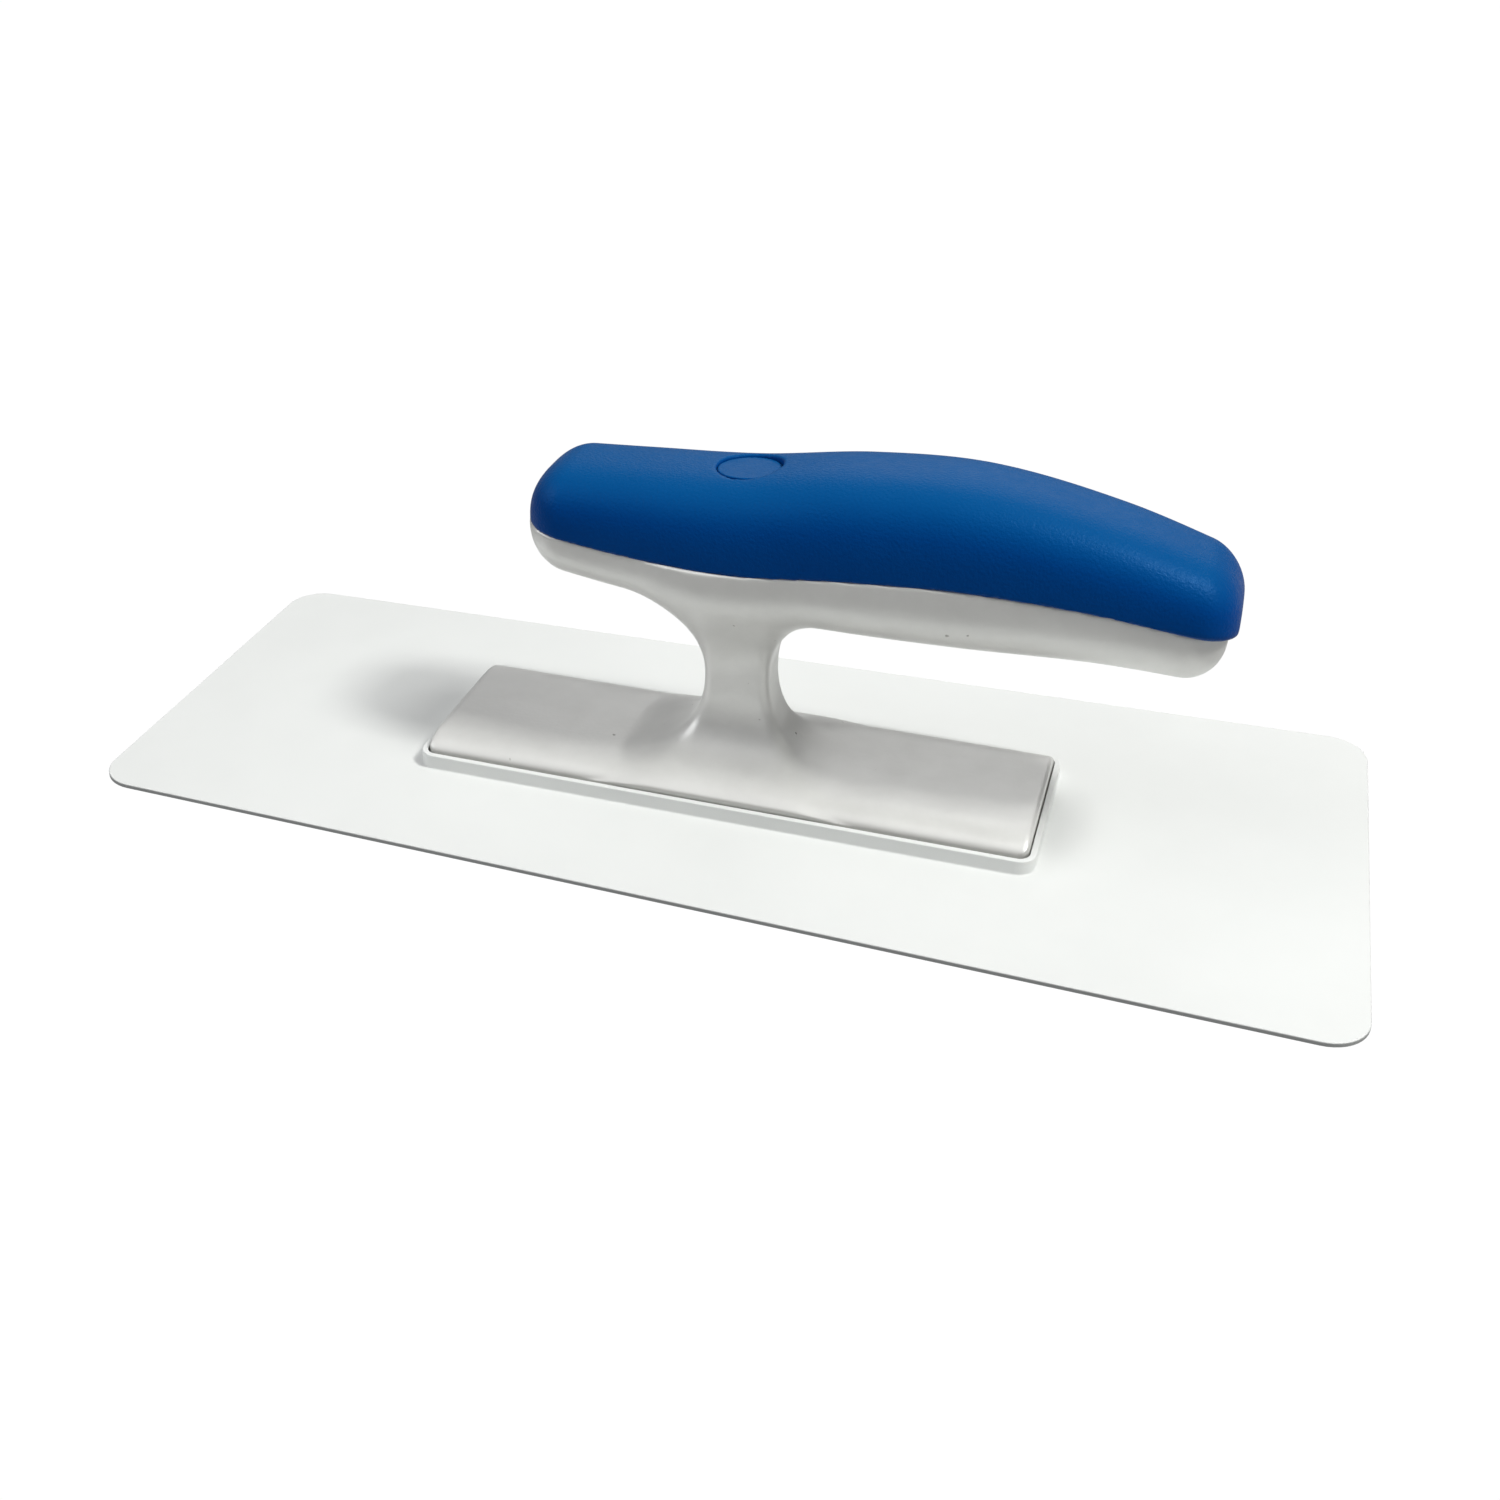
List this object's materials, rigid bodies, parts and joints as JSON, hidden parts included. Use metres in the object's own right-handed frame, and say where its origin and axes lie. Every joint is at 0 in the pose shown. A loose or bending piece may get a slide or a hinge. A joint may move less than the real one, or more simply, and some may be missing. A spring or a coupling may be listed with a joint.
{
  "type": "plastering hand float",
  "caption": "Thin rounded-corner plastic float blade with a raised collar, a bonded pale grey pedestal handle and a soft blue grip cover.",
  "frame": {"origin": "centre of the blade's working face, directly below the neck", "axes": "+Z out of the working face up through the neck, +X along the blade towards its wide end and the long tail of the grip, +Y across the blade"},
  "size_m": [0.28, 0.1194, 0.0812],
  "materials": {
    "white_plastic": "semi-matt moulded white plastic",
    "clear_adhesive": "cured adhesive film",
    "grey_body": "satin pale grey, faintly cast-looking",
    "blue_soft_plastic": "fine-grained soft-touch blue",
    "zinc_steel": "zinc-plated steel",
    "brass": "machined brass"
  },
  "bodies": {
    "root": {"blade": "white_plastic", "bond_bed": "clear_adhesive", "handle_body": "grey_body", "grip_cover": "blue_soft_plastic", "grip_plug": "blue_soft_plastic", "cover_screw": "zinc_steel", "screw_washer": "zinc_steel", "threaded_insert": "brass"}
  },
  "joints": []
}
